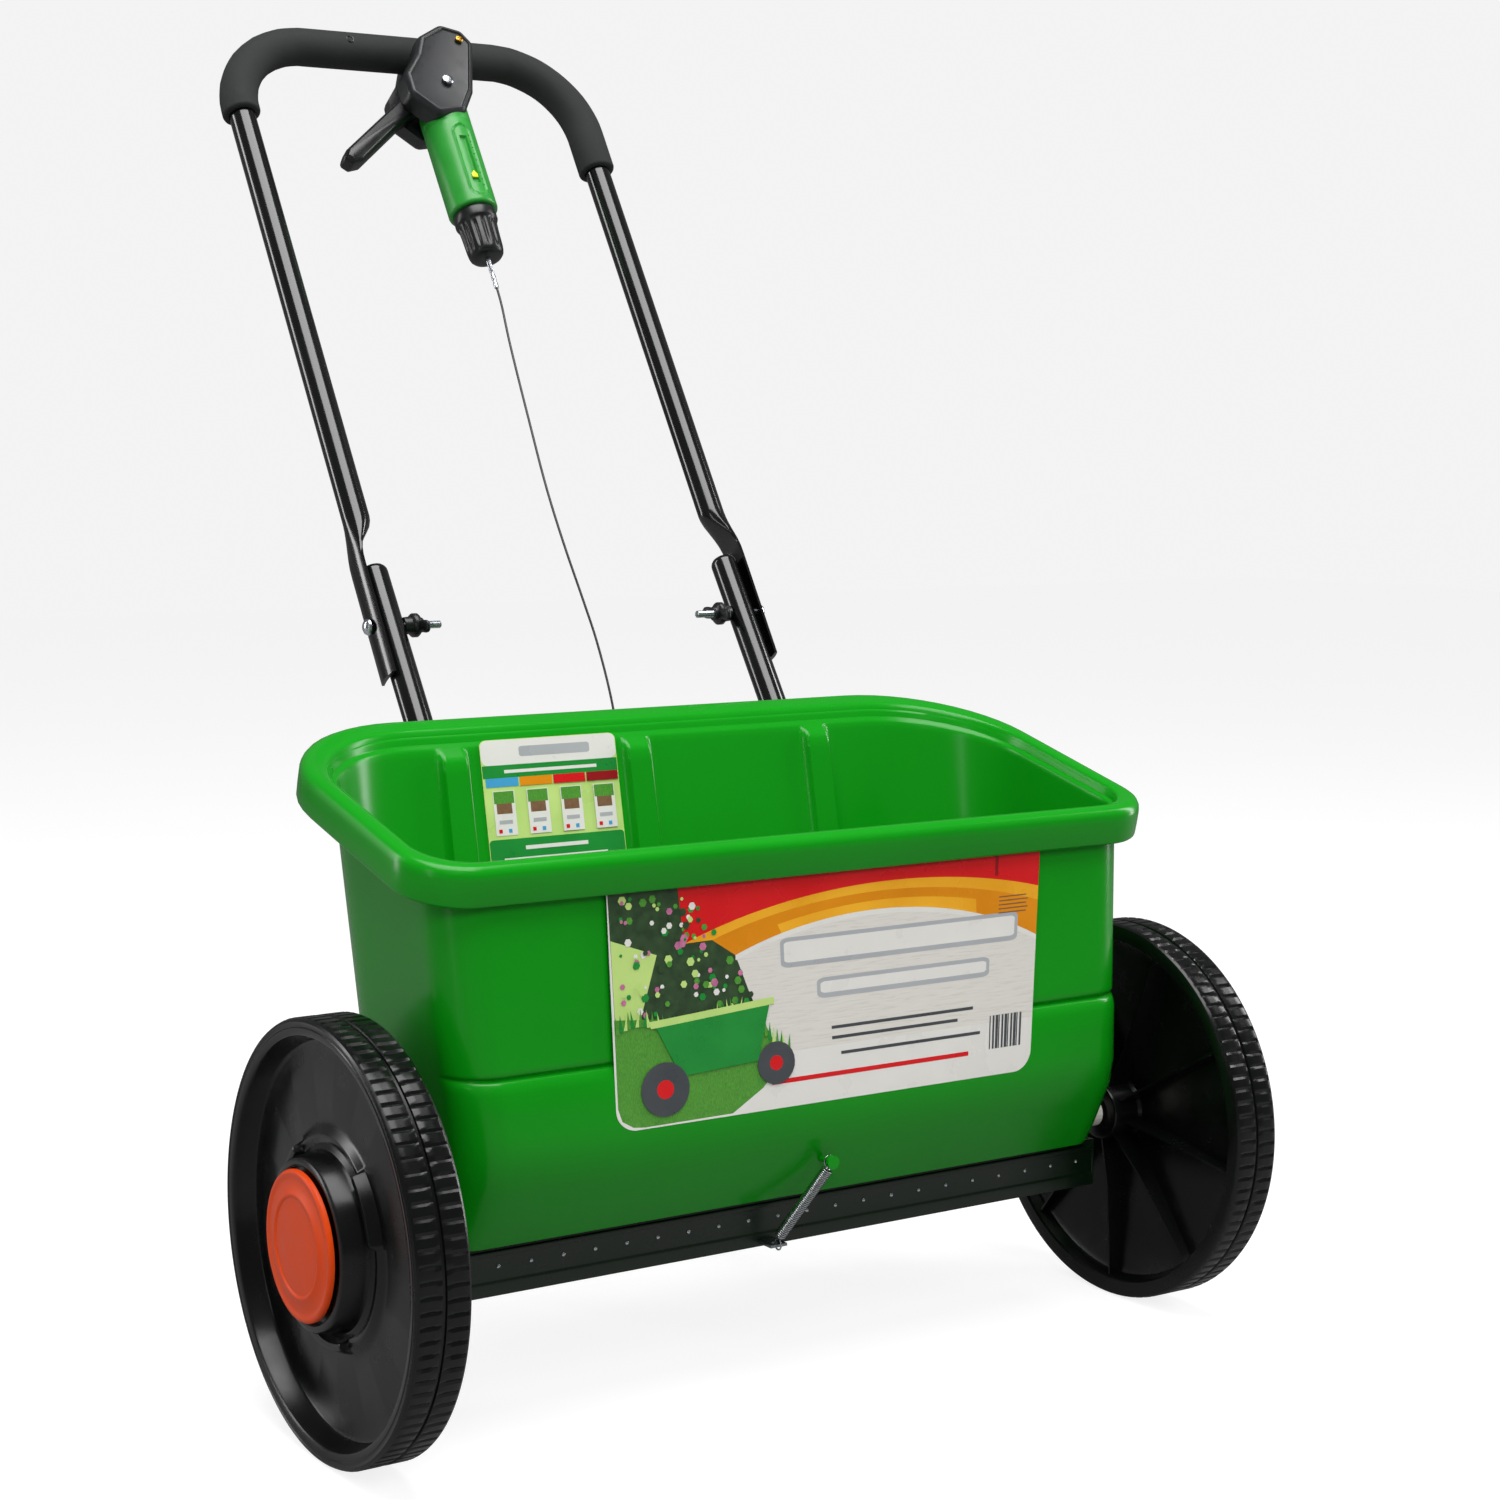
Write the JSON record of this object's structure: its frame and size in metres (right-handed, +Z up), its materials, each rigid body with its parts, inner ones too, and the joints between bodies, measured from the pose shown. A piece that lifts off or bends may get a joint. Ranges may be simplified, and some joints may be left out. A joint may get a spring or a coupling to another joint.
{
  "type": "garden drop spreader",
  "caption": "Push-type drop spreader: sloping rectangular hopper on ribbed wheels, folding U handle with squeeze lever, dial and cable to a sliding outlet shutter.",
  "frame": {"origin": "bottom centre of the whole object's bounding box, on the ground", "axes": "+Z up, -Y the front with the printed label, +Y towards the person pushing, X along the axle"},
  "size_m": [0.754, 0.7664, 1.0434],
  "materials": {
    "hopper_green": "moulded, semi-gloss",
    "base_dark_green": "satin",
    "galvanised_sheet": "satin",
    "spring_steel": "bright",
    "zinc_hardware": "zinc plated",
    "bright_axle_steel": "turned",
    "nylon_bush": "satin",
    "wheel_black": "semi-gloss",
    "cap_orange": "satin",
    "tube_black": "gloss paint",
    "foot_rubber": "matt",
    "label_film": "printed film",
    "control_black": "satin",
    "grip_foam": "matt foam",
    "control_grey": "satin",
    "brass_screw": "bright",
    "sleeve_green": "satin",
    "indicator_yellow": "satin",
    "cable_black": "satin"
  },
  "bodies": {
    "hopper_frame": {"hopper": "hopper_green", "metering_base": "base_dark_green", "axle_bush_left": "nylon_bush", "axle_bush_right": "nylon_bush", "lower_tube_left": "tube_black", "lower_tube_right": "tube_black", "rear_stand": "tube_black", "foot_left": "foot_rubber", "foot_right": "foot_rubber", "front_label": "label_film", "chart_label": "label_film", "handle_bolt_left": "zinc_hardware", "handle_bolt_right": "zinc_hardware", "return_spring": "spring_steel", "spring_anchor": "zinc_hardware", "arm_pivot_bolt": "zinc_hardware", "control_cable": "cable_black", "tube_bolt_left_low": "zinc_hardware", "tube_bolt_left_high": "zinc_hardware", "stand_bolt_left": "zinc_hardware", "tube_bolt_right_low": "zinc_hardware", "tube_bolt_right_high": "zinc_hardware", "stand_bolt_right": "zinc_hardware"},
    "left_wheel": {"left_wheel": "wheel_black", "left_hub_cap": "cap_orange"},
    "drive_axle": {"right_wheel": "wheel_black", "right_hub_cap": "cap_orange", "axle": "bright_axle_steel", "agitator": "galvanised_sheet", "drive_pin": "zinc_hardware", "retaining_ring": "zinc_hardware"},
    "handle": {"upper_handle_tube": "tube_black", "foam_grip": "grip_foam", "control_housing_front": "control_grey", "control_housing_back": "control_grey", "housing_screw": "brass_screw", "lever_pin": "zinc_hardware", "dial_sleeve": "sleeve_green", "cable_ferrule": "zinc_hardware"},
    "lever": {"lever": "control_grey"},
    "dial": {"dial_knob": "control_black"},
    "indicator": {"indicator": "indicator_yellow"},
    "shutoff_arm": {"shutoff_arm": "galvanised_sheet", "cable_end_fitting": "zinc_hardware"},
    "shutter": {"shutter_plate": "galvanised_sheet"},
    "wing_nut_left": {"wing_nut_left": "control_black"},
    "wing_nut_right": {"wing_nut_right": "control_black"}
  },
  "joints": [
    {"name": "left_wheel_spin", "type": "hinge", "parent": "hopper_frame", "child": "left_wheel", "pos_m": [0, -0.23325, 0.15], "axis": [1, 0, 0], "continuous": true},
    {"name": "drive_wheel_spin", "type": "hinge", "parent": "hopper_frame", "child": "drive_axle", "pos_m": [0, -0.23325, 0.15], "axis": [1, 0, 0], "continuous": true},
    {"name": "handle_fold", "type": "hinge", "parent": "hopper_frame", "child": "handle", "pos_m": [0, 0.05375, 0.5368], "axis": [1, 0, 0], "range_deg": [0, 110], "deforming": ["control_cable"]},
    {"name": "lever_squeeze", "type": "hinge", "parent": "handle", "child": "lever", "pos_m": [0.022, 0.32775, 0.97406], "axis": [0, 0.8474, -0.531], "range_deg": [0, 26], "stiffness_Nm_per_rad": 1.5},
    {"name": "dial_turn", "type": "hinge", "parent": "handle", "child": "dial", "pos_m": [0.022, 0.23983, 0.84505], "axis": [0, 0.531, 0.8474], "range_deg": [0, 300]},
    {"name": "indicator_slide", "type": "slide", "parent": "handle", "child": "indicator", "axis": [0, 0.531, 0.8474], "range_m": [0, 0.03]},
    {"name": "shutoff_arm_swing", "type": "hinge", "parent": "hopper_frame", "child": "shutoff_arm", "pos_m": [0.035, -0.09325, 0.19], "axis": [0, 1, 0], "range_deg": [0, 8.2]},
    {"name": "shutter_slide", "type": "slide", "parent": "hopper_frame", "child": "shutter", "axis": [-1, 0, 0], "range_m": [0, 0.012], "deforming": ["return_spring"]},
    {"name": "wing_nut_left_turn", "type": "hinge", "parent": "hopper_frame", "child": "wing_nut_left", "pos_m": [-0.14, 0.05375, 0.5368], "axis": [1, 0, 0], "continuous": true},
    {"name": "wing_nut_right_turn", "type": "hinge", "parent": "hopper_frame", "child": "wing_nut_right", "pos_m": [0.14, 0.05375, 0.5368], "axis": [1, 0, 0], "continuous": true}
  ],
  "couplings": [
    {"joint": "indicator_slide", "follows": "dial_turn", "m_per_rad": 0.0057},
    {"joint": "shutoff_arm_swing", "follows": "lever_squeeze", "ratio": 0.311},
    {"joint": "shutter_slide", "follows": "lever_squeeze", "m_per_rad": 0.0264}
  ]
}
